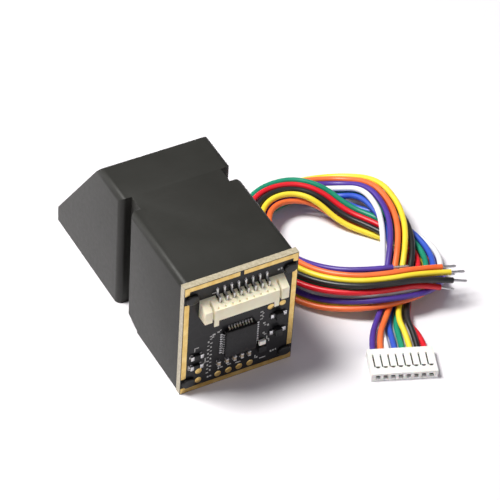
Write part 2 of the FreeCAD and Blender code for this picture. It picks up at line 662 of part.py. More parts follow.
# free end of each wire; violet stops short, so it leaves out the last two stations
TAIL = {
    "violet": (31.7, -16.5, 6.8), "orange": (39.6, -19.0, 5.9), "yellow": (40.4, -20.5, 5.7),
    "black": (40.0, -22.0, 5.3), "white": (38.6, -17.8, 4.6), "blue": (39.4, -19.2, 4.5),
    "green": (39.4, -20.6, 4.4), "red": (37.9, -21.7, 4.3),
}
SHORT_WIRE, STATIONS_LEFT_OUT = "violet", 2


def plug_point(side, ahead, z):
    """Point given from the middle of the plug's rear face."""
    turn = math.radians(value("plug_turn"))
    ahead += value("plug_length") / 2
    return V(value("plug_x") + side * math.cos(turn) - ahead * math.sin(turn),
             value("plug_y") + side * math.sin(turn) + ahead * math.cos(turn), z)


def bundle_place(phase):
    """Sideways place and height of a wire in the two-layer ribbon, going round its oval."""
    pitch = value("contact_pitch")
    phase %= len(BUNDLE_ORDER)
    half, bend = 1.5 * pitch, LAYER_RISE / 2
    if phase <= 3:
        return phase * pitch - half, LAYER_RISE
    if phase < 4:
        turn = (phase - 3) * math.pi
        return half + bend * math.sin(turn), bend + bend * math.cos(turn)
    if phase <= 7:
        return half - (phase - 4) * pitch, 0.0
    turn = (phase - 7) * math.pi
    return -half - bend * math.sin(turn), bend - bend * math.cos(turn)


def wire_points(name):
    """Corner points of one wire, from inside the plug to its free end."""
    side = (PLUG_ROW.index(name) - 3.5) * value("contact_pitch")
    points = [plug_point(side, -PLUG_DEPTH_IN, value("plug_thickness") / 2)]
    points += [plug_point(*spot) for spot in FAN[name]]
    for k in range(1, len(STATIONS)):
        x, y, z, twist = STATIONS[k]
        before, after = STATIONS[k - 1], STATIONS[min(k + 1, len(STATIONS) - 1)]
        dx, dy = after[0] - before[0], after[1] - before[1]
        run = math.hypot(dx, dy)
        lateral, height = bundle_place(BUNDLE_ORDER.index(name) + twist)
        points.append(V(x + dy / run * lateral, y - dx / run * lateral, z + height))
    if name == SHORT_WIRE:
        points = points[:-STATIONS_LEFT_OUT]
    return points + [V(*TAIL[name])]


def tube(name, points, diameter):
    """Round section along straight runs that tangent arcs join."""
    edges, radii, cursor = [], [], points[0]
    for before, corner, after in zip(points, points[1:], points[2:]):
        into, out = corner - before, after - corner
        angle = into.getAngle(out)
        reach = 0.45 * min(into.Length, out.Length)
        radii.append(reach / math.tan(angle / 2))
        into.normalize()
        out.normalize()
        start, end = corner - into * reach, corner + out * reach
        inward = out - into
        inward.normalize()
        middle = corner + inward * (math.hypot(reach, radii[-1]) - radii[-1])
        edges += [Part.LineSegment(cursor, start).toShape(), Part.Arc(start, middle, end).toShape()]
        cursor = end
    edges.append(Part.LineSegment(cursor, points[-1]).toShape())
    path = Part.Wire(edges)
    ring = Part.makeCircle(diameter / 2, points[0], points[1] - points[0])
    shape = path.makePipeShell([Part.Wire(ring)], True, False)
    expected = math.pi * diameter ** 2 / 4 * path.Length
    print(f"{name:20s} length {path.Length:6.1f}  least radius {min(radii or [0]):4.1f}  "
          f"volume over section times length {shape.Volume / expected:.4f}")
    piece = doc.addObject("Part::Feature", name)
    piece.Shape = shape
    return piece


def make_plug():
    """Plug in its own frame (wires leave towards its +Y), then set down where it lies."""
    half_l, count = "(plug_length/2)", int(value("contact_count"))
    body = block("plug_block", "-plug_width/2", "plug_width/2", f"-{half_l}", half_l,
                 "0", "plug_thickness")
    tools, contacts = [], []
    for k in range(count):
        x = f"(({k}-(contact_count-1)/2)*contact_pitch)"
        tools.append(block(f"cavity_{k}", f"{x}-0.38", f"{x}+0.38", f"-{half_l}-wall",
                           f"{half_l}-0.95", "0.42", "1.18"))
        tools.append(block(f"slit_{k}", f"{x}-0.42", f"{x}-0.14", f"-{half_l}+1.6",
                           f"-{half_l}+4.4", "0.8", "plug_thickness+wall"))
        latch = doc.addObject("Part::Cylinder", f"latch_window_{k}")
        bind(latch, "Radius", "0.45")
        bind(latch, "Height", "plug_thickness")
        latch.Angle = 180
        latch.Placement = FreeCAD.Placement(V(0, 0, 0), FreeCAD.Rotation(V(0, 0, 1), 180))
        place(latch, f"{x}+0.17", f"-{half_l}+1.75", "0.8")
        tools.append(latch)
        tools.append(block(f"wire_hole_{k}", f"{x}-wire_diameter/2-fit_gap/2",
                           f"{x}+wire_diameter/2+fit_gap/2", f"{half_l}-1.1", f"{half_l}+wall",
                           "0.15", "plug_thickness-0.15"))
        contacts.append(block(f"plug_contact_{k}", f"{x}-0.33", f"{x}+0.33",
                              f"-{half_l}+0.5", f"{half_l}-1.0", "0.47", "1.13"))
    moulding = cut("plug_moulding", body, fuse("plug_tools", tools))
    metal = group("plug_metal", contacts)
    for obj, name in ((moulding, "plug_housing"), (metal, "plug_contacts")):
        place(obj, "plug_x", "plug_y", "0")
        bind(obj, ".Placement.Rotation.Angle", "plug_turn")
        keep(obj, name)


def make_wires():
    tips = []
    for name in PLUG_ROW:
        points = wire_points(name)
        keep(tube(f"insulation_{name}", points, value("wire_diameter")), f"wire_{name}")
        ahead = points[-1] - points[-2]
        ahead.normalize()
        tip = doc.addObject("Part::Cylinder", f"tip_{name}")
        bind(tip, "Radius", "tip_diameter/2")
        bind(tip, "Height", "tip_length")
        tip.Placement = FreeCAD.Placement(points[-1], FreeCAD.Rotation(V(0, 0, 1), ahead))
        tips.append(tip)
    keep(group("stripped_tips", tips), "wire_tips")


# ---------------------------------------------------------------- build and write
for make in (make_housing, make_stake_heads, make_prism, make_gasket, make_light_source,
             make_flex, make_baffle, make_sensor, make_lens_holder, make_barrel, make_board,
             make_processor, make_small_parts, make_header, make_plug, make_wires):
    make()
doc.recompute()

faults = [f"{o.Name}: {o.State}" for o in doc.Objects if {"Invalid", "Error"} & set(o.State)]
for obj in nodes:
    shape = obj.Shape
    if shape.isNull() or not shape.isValid() or not shape.Solids:
        faults.append(f"{obj.Label}: bad shape")
if faults:
    raise RuntimeError("; ".join(faults))
os.makedirs("parts", exist_ok=True)
for obj in nodes:
    obj.Shape.exportStep(f"parts/{obj.Label}.step")
    box = obj.Shape.BoundBox
    print(f"{obj.Label:20s} solids {len(obj.Shape.Solids):2d}  volume {obj.Shape.Volume:9.2f}  "
          f"z {box.ZMin:.2f}..{box.ZMax:.2f}")
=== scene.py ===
"""Looks, lights and camera for an optical fingerprint reader module and its loose eight-way lead."""
import json
import math

import bmesh
import bpy
from mathutils import Matrix, Vector


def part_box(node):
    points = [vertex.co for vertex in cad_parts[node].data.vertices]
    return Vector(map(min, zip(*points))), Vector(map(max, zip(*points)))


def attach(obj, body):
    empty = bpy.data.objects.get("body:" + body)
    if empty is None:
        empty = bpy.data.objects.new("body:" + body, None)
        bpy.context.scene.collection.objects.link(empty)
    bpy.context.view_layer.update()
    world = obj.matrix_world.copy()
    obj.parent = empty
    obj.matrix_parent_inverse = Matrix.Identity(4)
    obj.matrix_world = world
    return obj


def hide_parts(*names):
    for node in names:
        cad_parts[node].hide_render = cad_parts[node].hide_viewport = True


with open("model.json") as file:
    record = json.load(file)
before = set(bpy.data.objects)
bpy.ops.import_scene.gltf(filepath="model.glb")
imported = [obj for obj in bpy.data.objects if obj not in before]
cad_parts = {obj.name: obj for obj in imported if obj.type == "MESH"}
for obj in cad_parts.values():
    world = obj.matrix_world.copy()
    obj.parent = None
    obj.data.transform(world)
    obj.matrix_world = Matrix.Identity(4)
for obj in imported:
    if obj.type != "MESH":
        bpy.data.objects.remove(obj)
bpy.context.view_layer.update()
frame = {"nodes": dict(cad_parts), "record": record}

MM = 0.001
NODES = frame["nodes"]
BODY_OF = {node: body for body, names in frame["record"]["behaviour"]["bodies"].items()
           for node in names}
SLOT_OF = {part["node"]: part["material_slot"] for part in frame["record"]["subparts"]}
FACE_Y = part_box("main_board")[0][1]          # outer face of the circuit board


# ---------------------------------------------------------------- making materials
MOTTLE_FROM, MOTTLE_TO = 0.35, 0.7           # noise values between which a colour drifts
MIX_COLOUR_A, MIX_COLOUR_B, MIX_COLOUR_OUT = 6, 7, 2      # colour sockets of a Mix node


def plain(name, colour, roughness, **sockets):
    """A principled surface; sockets are its own inputs by name, with _ for a space."""
    material = bpy.data.materials.new(name)
    material.use_nodes = True
    shader = material.node_tree.nodes["Principled BSDF"]
    shader.inputs["Base Color"].default_value = (*colour, 1)
    shader.inputs["Roughness"].default_value = roughness
    for key, number in sockets.items():
        shader.inputs[key.replace("_", " ")].default_value = number
    return material


def noise_of(material, waves, detail=3.0):
    """Noise over the piece's own coordinates, in waves per metre."""
    tree = material.node_tree
    place = tree.nodes.new("ShaderNodeTexCoord")
    noise = tree.nodes.new("ShaderNodeTexNoise")
    noise.inputs["Scale"].default_value = waves
    noise.inputs["Detail"].default_value = detail
    tree.links.new(place.outputs["Object"], noise.inputs["Vector"])
    return noise.outputs["Fac"]


def ramped(material, source, start, end):
    """Colour that runs between two stops, each a position and a colour, as a value rises."""
    tree = material.node_tree
    ramp = tree.nodes.new("ShaderNodeValToRGB")
    for stop, (position, colour) in zip(ramp.color_ramp.elements, (start, end)):
        stop.position = position
        stop.color = (*colour, 1)
    tree.links.new(source, ramp.inputs["Fac"])
    return ramp.outputs["Color"]


def mottle(material, colour, waves):
    """Drift of the base colour towards a second one."""
    tree = material.node_tree
    base = tree.nodes["Principled BSDF"].inputs["Base Color"]
    drift = ramped(material, noise_of(material, waves),
                   (MOTTLE_FROM, tuple(base.default_value)[:3]), (MOTTLE_TO, colour))
    tree.links.new(drift, base)
    return material


def grain(material, waves, height, strength=0.6):
    """Fine surface texture, its height in millimetres."""
    tree = material.node_tree
    bump = tree.nodes.new("ShaderNodeBump")
    bump.inputs["Distance"].default_value = height * MM
    bump.inputs["Strength"].default_value = strength
    tree.links.new(noise_of(material, waves), bump.inputs["Height"])
    tree.links.new(bump.outputs["Normal"], tree.nodes["Principled BSDF"].inputs["Normal"])
    return material


def uneven_gloss(material, waves, low, high):
    """Roughness that wanders between two values."""
    tree = material.node_tree
    reach = tree.nodes.new("ShaderNodeMapRange")
    reach.inputs["To Min"].default_value = low
    reach.inputs["To Max"].default_value = high
    tree.links.new(noise_of(material, waves), reach.inputs["Value"])
    tree.links.new(reach.outputs["Result"], tree.nodes["Principled BSDF"].inputs["Roughness"])
    return material


# ---------------------------------------------------------------- plastics
def moulded_black():
    """Spark-textured black ABS of the housing."""
    material = plain("moulded_black", (0.018, 0.018, 0.015), 0.5, Specular_IOR_Level=0.30)
    mottle(material, (0.022, 0.022, 0.019), waves=160)
    uneven_gloss(material, waves=1200, low=0.44, high=0.56)
    return grain(material, waves=9000, height=0.02, strength=0.3)


def melted_plastic():
    """Housing plastic where the iron has melted it: darker and glossier."""
    material = plain("melted_plastic", (0.008, 0.008, 0.008), 0.3, Specular_IOR_Level=0.35)
    mottle(material, (0.014, 0.014, 0.013), waves=2500)
    return grain(material, waves=2500, height=0.03, strength=0.4)


def inner_plastic():
    """Dull black plastic of the lens holder and the other hidden mouldings."""
    material = plain("inner_plastic", (0.02, 0.02, 0.02), 0.6)
    mottle(material, (0.03, 0.03, 0.03), waves=600)
    return grain(material, waves=8000, height=0.02)


def ivory_nylon():
    """Heat-proof nylon of the header."""
    material = plain("ivory_nylon", (0.92, 0.84, 0.60), 0.42, Subsurface_Weight=0.15,
                     Subsurface_Scale=0.6 * MM)
    mottle(material, (0.95, 0.89, 0.68), waves=500)
    return grain(material, waves=7000, height=0.01, strength=0.35)


def white_nylon():
    """Nylon of the plug."""
    material = plain("white_nylon", (0.83, 0.83, 0.80), 0.4, Subsurface_Weight=0.15,
                     Subsurface_Scale=0.6 * MM)
    mottle(material, (0.88, 0.87, 0.84), waves=500)
    return grain(material, waves=7000, height=0.01, strength=0.3)


def insulation(name, colour, drift):
    """Soft vinyl sleeve of one wire."""
    material = plain(f"insulation_{name}", colour, 0.36, Specular_IOR_Level=0.5)
    mottle(material, drift, waves=350)
    return grain(material, waves=2500, height=0.02, strength=0.25)


def diffusing_sheet():
    """Milky sheet over the light source."""
    material = plain("diffusing_sheet", (0.8, 0.8, 0.8), 0.6)
    mottle(material, (0.88, 0.88, 0.88), waves=800)
    return grain(material, waves=9000, height=0.01)


def sealing_rubber():
    """Gasket round the window."""
    material = plain("sealing_rubber", (0.018, 0.018, 0.018), 0.7)
    mottle(material, (0.03, 0.03, 0.03), waves=900)
    return grain(material, waves=7000, height=0.02)


def amber_film():
    """Polyimide film of the flexible circuit."""
    material = plain("amber_film", (0.42, 0.18, 0.04), 0.3)
    mottle(material, (0.50, 0.24, 0.07), waves=700)
    return grain(material, waves=3000, height=0.01)


def chip_resin():
    """Matt black epoxy of the chips."""
    material = plain("chip_resin", (0.010, 0.010, 0.011), 0.5, Specular_IOR_Level=0.3)
    mottle(material, (0.018, 0.018, 0.019), waves=3000)
    return grain(material, waves=16000, height=0.008, strength=0.5)


def resin_lens():
    """Cloudy resin of the light-emitting diodes."""
    material = plain("resin_lens", (0.88, 0.88, 0.83), 0.2, Subsurface_Weight=0.3,
                     Subsurface_Scale=0.4 * MM)
    mottle(material, (0.93, 0.92, 0.80), waves=2500)
    return grain(material, waves=6000, height=0.006)


# ---------------------------------------------------------------- metals, glass and ceramic
def gold_plating():
    """Plated copper of the border and the pads."""
    material = plain("gold_plating", (0.70, 0.47, 0.15), 0.36, Metallic=1.0)
    mottle(material, (0.82, 0.62, 0.26), waves=700)
    uneven_gloss(material, waves=1500, low=0.22, high=0.42)
    return grain(material, waves=5000, height=0.012, strength=0.4)


def tin_plating():
    """Bright tin of the leads and terminals."""
    material = plain("tin_plating", (0.62, 0.62, 0.63), 0.3, Metallic=1.0)
    uneven_gloss(material, waves=3000, low=0.2, high=0.42)
    return grain(material, waves=6000, height=0.01, strength=0.5)


def solder():
    """Shiny solder, slightly clouded."""
    material = plain("solder", (0.74, 0.74, 0.76), 0.18, Metallic=1.0)
    mottle(material, (0.60, 0.60, 0.62), waves=4000)
    return grain(material, waves=4000, height=0.01, strength=0.4)


def contact_painted_shade():
    """Tinned bronze down in the plug, its colour darkened to painted shade of the slits and windows it
    sits in.
    """
    material = plain("contact_painted_shade", (0.030, 0.030, 0.022), 0.55, Metallic=0.3)
    mottle(material, (0.05, 0.05, 0.036), waves=3000)
    return grain(material, waves=6000, height=0.01)


def window_glass():
    """Polished glass of the finger window's prism."""
    material = plain("window_glass", (0.78, 0.84, 0.86), 0.03, IOR=1.52,
                     Transmission_Weight=0.92, Coat_Weight=0.4)
    return grain(material, waves=120, height=0.004, strength=0.15)


def optical_glass():
    """Clear glass of the lenses and the filter."""
    material = plain("optical_glass", (0.9, 0.94, 0.93), 0.02, IOR=1.6, Transmission_Weight=1.0)
    return grain(material, waves=200, height=0.002, strength=0.1)


def ceramic():
    """Fired body of the capacitors."""
    material = plain("ceramic", (0.42, 0.33, 0.22), 0.5)
    mottle(material, (0.52, 0.42, 0.29), waves=4000)
    return grain(material, waves=9000, height=0.008)


# ---------------------------------------------------------------- circuit board finishes
def board_faces(material):
    """1 on the board's two broad faces, 0 round its edge."""
    tree = material.node_tree
    place = tree.nodes.new("ShaderNodeTexCoord")
    split = tree.nodes.new("ShaderNodeSeparateXYZ")
    lean = tree.nodes.new("ShaderNodeMath")
    lean.operation = "ABSOLUTE"
    step = tree.nodes.new("ShaderNodeMath")
    step.operation = "GREATER_THAN"
    step.inputs[1].default_value = 0.5
    tree.links.new(place.outputs["Normal"], split.inputs["Vector"])
    tree.links.new(split.outputs["Y"], lean.inputs[0])
    tree.links.new(lean.outputs["Value"], step.inputs[0])
    return step.outputs["Value"]


def masked_copper(material):
    """Black mask, a shade lighter along the copper tracks under it."""
    tree = material.node_tree
    place = tree.nodes.new("ShaderNodeTexCoord")
    tracks = tree.nodes.new("ShaderNodeTexVoronoi")
    tracks.feature = "DISTANCE_TO_EDGE"
    tracks.distance = "MANHATTAN"
    tracks.inputs["Scale"].default_value = 420
    tree.links.new(place.outputs["Object"], tracks.inputs["Vector"])
    return ramped(material, tracks.outputs["Distance"],
                  (0.04, (0.0115, 0.0115, 0.0125)), (0.09, (0.009, 0.009, 0.010)))


def bare_laminate(material):
    """Sawn glass-fibre edge."""
    return ramped(material, noise_of(material, waves=2600, detail=2.0),
                  (0.0, (0.24, 0.20, 0.13)), (1.0, (0.60, 0.54, 0.40)))


def solder_mask():
    """Mask on the board's two faces, bare laminate round its edge."""
    material = plain("solder_mask", (0.010, 0.010, 0.012), 0.32, Specular_IOR_Level=0.28)
    tree = material.node_tree
    mix = tree.nodes.new("ShaderNodeMix")
    mix.data_type = "RGBA"
    tree.links.new(board_faces(material), mix.inputs["Factor"])
    tree.links.new(bare_laminate(material), mix.inputs[MIX_COLOUR_A])
    tree.links.new(masked_copper(material), mix.inputs[MIX_COLOUR_B])
    tree.links.new(mix.outputs[MIX_COLOUR_OUT], tree.nodes["Principled BSDF"].inputs["Base Color"])
    return material


def white_ink():
    """Screened ink of the board's marks, thin in places."""
    material = plain("white_ink", (0.62, 0.62, 0.60), 0.6)
    mottle(material, (0.34, 0.34, 0.33), waves=5200)
    return grain(material, waves=9000, height=0.006)


# each wire's colour, and the one that it drifts to
WIRE_COLOURS = {
    "violet": ((0.068, 0.030, 0.27), (0.085, 0.040, 0.34)),
    "orange": ((0.86, 0.145, 0.035), (0.92, 0.19, 0.05)),
    "white": ((0.82, 0.82, 0.82), (0.88, 0.88, 0.87)),
    "blue": ((0.030, 0.085, 0.50), (0.040, 0.11, 0.58)),
    "green": ((0.008, 0.24, 0.14), (0.012, 0.30, 0.17)),
    "yellow": ((0.90, 0.68, 0.03), (0.94, 0.75, 0.06)),
    "black": ((0.012, 0.012, 0.013), (0.02, 0.02, 0.02)),
    "red": ((0.68, 0.008, 0.018), (0.76, 0.014, 0.026)),
}
MATERIALS = {
    "housing": moulded_black(), "solder_mask": solder_mask(), "gold_plate": gold_plating(),
    "tin": tin_plating(), "chip_resin": chip_resin(), "header_plastic": ivory_nylon(),
    "plug_plastic": white_nylon(), "ceramic": ceramic(), "prism": window_glass(),
    "optical_glass": optical_glass(), "led_resin": resin_lens(), "diffuser": diffusing_sheet(),
    "black_plastic": inner_plastic(), "gasket": sealing_rubber(), "flex_film": amber_film(),
    "connector_plastic": white_nylon(),
    **{f"insulation_{name}": insulation(name, *colours) for name, colours in WIRE_COLOURS.items()},
}
# finishes that belong to no material slot
SOLDER = solder()
WHITE_INK = white_ink()
MELTED_PLASTIC = melted_plastic()
# dark metal of the plug's contacts and latch tabs: painted shade of the slits and windows they sit in
CONTACT_PAINTED_SHADE = contact_painted_shade()


def dress_frame():
    """Give every carried-over CAD node its finish."""
    for name, node in NODES.items():
        # the plug's contacts take the metal darkened as painted shade of their slits
        finish = CONTACT_PAINTED_SHADE if name == "plug_contacts" else MATERIALS[SLOT_OF[name]]
        node.data.materials.clear()
        node.data.materials.append(finish)


# ---------------------------------------------------------------- making pieces
SAME_POINT = 1e-6                            # metres within which two points are one
FLAT = math.radians(0.5)                     # faces that lean less than this are one face
WIDEST_EDGE = 0.45                           # widest rounding, as a share of the shortest side
ALONG_Y = Matrix.Rotation(math.pi / 2, 4, "X")            # turns an upright shape to lie along Y


def add_piece(name, shape, slot, body, stands_for=(), smooth=30):
    """Turn a bmesh in metres into a piece that rides on a body; slot may be a bare material."""
    bmesh.ops.recalc_face_normals(shape, faces=shape.faces)
    for face in shape.faces:
        face.smooth = True
    for edge in shape.edges:
        edge.smooth = len(edge.link_faces) == 2 and edge.calc_face_angle(0) < math.radians(smooth)
    mesh = bpy.data.meshes.new(name)
    shape.to_mesh(mesh)
    shape.free()
    mesh.materials.append(MATERIALS[slot] if isinstance(slot, str) else slot)
    piece = bpy.data.objects.new(name, mesh)
    bpy.context.collection.objects.link(piece)
    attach(piece, body)
    if stands_for:
        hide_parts(*stands_for)
    return piece


def edges_of(vertices):
    """Every edge that ends at one of the vertices."""
    return list({edge for vertex in vertices for edge in vertex.link_edges})


def bevel(shape, edges, offset, segments):
    """Round edges off, and give what the operator made."""
    return bmesh.ops.bevel(shape, geom=edges, offset=offset, offset_type="OFFSET", segments=segments,
                           profile=0.5, affect="EDGES", clamp_overlap=True, material=-1)


def box(shape, low, high):
    """Plain box between two corners; gives its vertices."""
    low, high = Vector(low), Vector(high)
    place = Matrix.Translation((low + high) / 2) @ Matrix.Diagonal((*(high - low), 1))
    return bmesh.ops.create_cube(shape, size=1, matrix=place)["verts"]


def rounded_block(shape, low, high, edge, segments=2):
    """Box between two corners with its edges rounded."""
    corners = box(shape, low, high)
    shortest = min(Vector(high) - Vector(low))
    bevel(shape, edges_of(corners), min(edge, shortest * WIDEST_EDGE), segments)


def squashed_ball(shape, middle, size, around, rings, lay=Matrix.Identity(4)):
    """Ball pressed to a size, as solder or plating beads up; half of it is in what it sits on."""
    made = bmesh.ops.create_uvsphere(shape, u_segments=around, v_segments=rings, radius=0.5)
    place = Matrix.Translation(middle) @ Matrix.Diagonal((*size, 1)) @ lay
    bmesh.ops.transform(shape, verts=made["verts"], matrix=place)


def merged(node):
    """Copy of a CAD node with its loose triangles joined."""
    shape = bmesh.new()
    shape.from_mesh(NODES[node].data)
    bmesh.ops.remove_doubles(shape, verts=shape.verts, dist=SAME_POINT)
    return shape


def softened(node, edge, segments=2, sharp=35):
    """Copy of a CAD node whose sharp edges are eased, as moulding leaves them."""
    shape = merged(node)
    bmesh.ops.dissolve_limit(shape, angle_limit=FLAT, verts=shape.verts, edges=shape.edges)
    creases = [e for e in shape.edges
               if len(e.link_faces) == 2 and e.calc_face_angle(0) > math.radians(sharp)]
    bevel(shape, creases, edge, segments)
    return shape


def solids_of(node):
    """Lowest and highest corner of each separate solid in a CAD node."""
    shape = merged(node)
    left, boxes = set(shape.verts), []
    while left:
        todo, solid = [left.pop()], []
        while todo:
            vertex = todo.pop()
            solid.append(vertex.co.copy())
            for edge in vertex.link_edges:
                other = edge.other_vert(vertex)
                if other in left:
                    left.remove(other)
                    todo.append(other)
        boxes.append((Vector([min(p[k] for p in solid) for k in range(3)]),
                      Vector([max(p[k] for p in solid) for k in range(3)])))
    shape.free()
    return sorted(boxes, key=lambda b: (round(b[0].z, 5), b[0].x))


def blocks_from(node, slot, edge, segments=2):
    """Rounded block in place of each solid of a CAD node."""
    shape = bmesh.new()
    for low, high in solids_of(node):
        rounded_block(shape, low, high, edge, segments)
    return add_piece(node + "_detail", shape, slot, BODY_OF[node], [node])


# ---------------------------------------------------------------- housing
END_ROUNDING, FACE_CROWN = 0.46, 0.45        # shares of a stake head's width and of its depth


def melted_head(shape, low, high):
    """Pill-shaped head of a melted plastic stake: round ends, crowned face."""
    size = high - low
    corners = box(shape, low, high)
    upright = [e for e in edges_of(corners)
               if abs((e.verts[0].co - e.verts[1].co).y) > size.y * 0.9]
    ends = bevel(shape, upright, min(size.x, size.z) * END_ROUNDING, 8)
    rim = [e for e in edges_of(v for f in ends["faces"] for v in f.verts)
           if all(abs(v.co.y - low.y) < SAME_POINT for v in e.verts)
           and any(abs(f.normal.y) < 0.5 for f in e.link_faces)]
    bevel(shape, rim, size.y * FACE_CROWN, 4)


def make_housing():
    add_piece("housing_shell", softened("housing", 0.22 * MM), "housing", "module", ["housing"], 40)


def make_window():
    add_piece("window_prism", softened("prism", 0.12 * MM), "prism", "module", ["prism"], 40)


def make_melted_stakes():
    shape = bmesh.new()
    for low, high in solids_of("stake_heads"):
        melted_head(shape, low, high)
    add_piece("melted_stakes", shape, MELTED_PLASTIC, "module", ["stake_heads"], 60)


# ---------------------------------------------------------------- processor
BODY_EDGE, DOT_RADIUS, DOT_DEPTH, DOT_INSET = 0.16 * MM, 0.28 * MM, 0.02 * MM, 0.75 * MM
LEAD_THICKNESS, LEAD_DROP = 0.13 * MM, 0.34 * MM
# the stretches of a bent lead: share of its reach, share of its drop
LEAD_BENDS = ((0.28, 0.0), (0.22, 1.0), (0.50, 0.0))


def gull_wing(shape, root, out, side, width, reach):
    """Bent flat lead: leaves the body level, steps down and lies on its pad."""
    section = [root + side * (width / 2 * a) + Vector((0, -1, 0)) * (LEAD_DROP + LEAD_THICKNESS * b)
               for a, b in ((-1, 0), (1, 0), (1, 1), (-1, 1))]
    face = shape.faces.new([shape.verts.new(p) for p in section])
    for ahead, fall in LEAD_BENDS:
        made = bmesh.ops.extrude_face_region(shape, geom=[face])
        moved = [v for v in made["geom"] if isinstance(v, bmesh.types.BMVert)]
        step = out * (reach * ahead) + Vector((0, 1, 0)) * (LEAD_DROP * fall)
        bmesh.ops.translate(shape, verts=moved, vec=step)
        if face.is_valid:
            shape.faces.remove(face)
        face = next(f for f in made["geom"] if isinstance(f, bmesh.types.BMFace))


def make_processor():
    """Chip body with its round first-pin mark."""
    low, high = (Vector(corner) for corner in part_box("processor"))
    shape = bmesh.new()
    rounded_block(shape, low, high, BODY_EDGE)
    dot = bmesh.ops.create_cone(shape, cap_ends=True, segments=24, radius1=DOT_RADIUS,
                                radius2=DOT_RADIUS, depth=DOT_DEPTH)
    place = Matrix.Translation((low.x + DOT_INSET, low.y, high.z - DOT_INSET))
    bmesh.ops.transform(shape, verts=dot["verts"], matrix=place @ ALONG_Y)
    add_piece("processor_package", shape, "chip_resin", "module", ["processor"])


def make_processor_leads():
    low, high = (Vector(corner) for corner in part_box("processor"))
    middle = (low + high) / 2
    shape = bmesh.new()
    for a, b in solids_of("processor_leads"):
        spot, size = (a + b) / 2, b - a
        if abs(spot.x - middle.x) > abs(spot.z - middle.z):
            out = Vector((math.copysign(1, spot.x - middle.x), 0, 0))
            side, reach, width = Vector((0, 0, 1)), size.x, size.z
        else:
            out = Vector((0, 0, math.copysign(1, spot.z - middle.z)))
            side, reach, width = Vector((1, 0, 0)), size.z, size.x
        root = Vector((spot.x, FACE_Y, spot.z)) - out * reach / 2
        gull_wing(shape, root, out, side, width, reach)
    add_piece("processor_gull_wings", shape, "tin", "module", ["processor_leads"])


# ---------------------------------------------------------------- board
PAD_CROWN = 0.16                             # rise of a test pad, as a share of its radius
JOINT_SPREAD = Vector((1.35, 0.55, 1.25))    # solder joint against the terminal that it holds
FILLET_SPREAD = Vector((1.5, 1.15, 1.3))     # solder fillet against the diode terminal under it
FILLET_TOP, FILLET_STRETCH, FILLET_EDGE = 0.36, 1.2, 0.08 # its crest, its length and its rounding
# small parts made as blocks: node, finish, rounding in millimetres, its segments
SMALL_PARTS = (
    ("diodes", "chip_resin", 0.14, 2), ("diode_terminals", "tin", 0.09, 2),
    ("status_led", "led_resin", 0.12, 3), ("transistor", "chip_resin", 0.12, 2),
    ("resistors", "chip_resin", 0.06, 2), ("capacitors", "ceramic", 0.06, 2),
    ("chip_terminals", "tin", 0.07, 2),
)


def make_pads():
    """Test pads: discs of plating with a solder-levelled crown."""
    shape = bmesh.new()
    for low, high in solids_of("test_pads"):
        middle, width = (low + high) / 2, high.x - low.x
        squashed_ball(shape, (middle.x, FACE_Y, middle.z), (width, width * PAD_CROWN, width),
                      28, 12, ALONG_Y)
    add_piece("pad_crowns", shape, "gold_plate", "module", ["test_pads"], 60)


def make_small_parts():
    for node, slot, edge, segments in SMALL_PARTS:
        blocks_from(node, slot, edge * MM, segments)


def make_solder_joints():
    shape = bmesh.new()
    for low, high in solids_of("chip_terminals"):
        middle = (low + high) / 2
        squashed_ball(shape, (middle.x, FACE_Y, middle.z), (high - low) * JOINT_SPREAD, 12, 6)
    add_piece("solder_joints", shape, SOLDER, "module", smooth=80)


def solder_wedge(shape, middle, width, height, rise):
    """Solder fillet over a pad, broad at the top and running to a point below."""
    made = bmesh.ops.create_cone(shape, cap_ends=True, segments=3, radius1=0.5, radius2=FILLET_TOP,
                                 depth=1)
    lay = ALONG_Y @ Matrix.Rotation(math.pi, 4, "Z")
    place = Matrix.Translation((middle.x, FACE_Y - rise / 2, middle.z))
    bmesh.ops.transform(shape, verts=made["verts"],
                        matrix=place @ Matrix.Diagonal((width, rise, height * FILLET_STRETCH, 1)) @ lay)
    bevel(shape, edges_of(made["verts"]), min(width, height) * FILLET_EDGE, 2)


def make_diode_fillets():
    shape = bmesh.new()
    for low, high in solids_of("diode_terminals"):
        width, rise, height = (high - low) * FILLET_SPREAD
        solder_wedge(shape, (low + high) / 2, width, height, rise)
    add_piece("diode_fillets", shape, SOLDER, "module", smooth=50)


# ---------------------------------------------------------------- header
FOOT_SOLDER = Vector((0.44, 0.16, 1.0)) * MM              # bead over the foot of a header lead
FOOT_SOLDER_DROP = 0.35 * MM                              # its middle below the foot's upper end


def make_header():
    add_piece("header_moulding", softened("header_body", 0.07 * MM), "header_plastic", "module",
              ["header_body"], 40)


def make_header_leads():
    add_piece("header_leads", softened("header_contacts", 0.03 * MM, 1), "tin", "module",
              ["header_contacts"], 40)
    blocks_from("header_tabs", "tin", 0.08 * MM)


def make_header_solder():
    shape = bmesh.new()
    for low, high in solids_of("header_contacts"):
        middle = ((low.x + high.x) / 2, FACE_Y, high.z - FOOT_SOLDER_DROP)
        squashed_ball(shape, middle, FOOT_SOLDER, 16, 8)
    add_piece("header_solder", shape, SOLDER, "module", smooth=80)


# ---------------------------------------------------------------- printed marks
INK_DEPTH, INK_EDGE = 0.02, 0.01
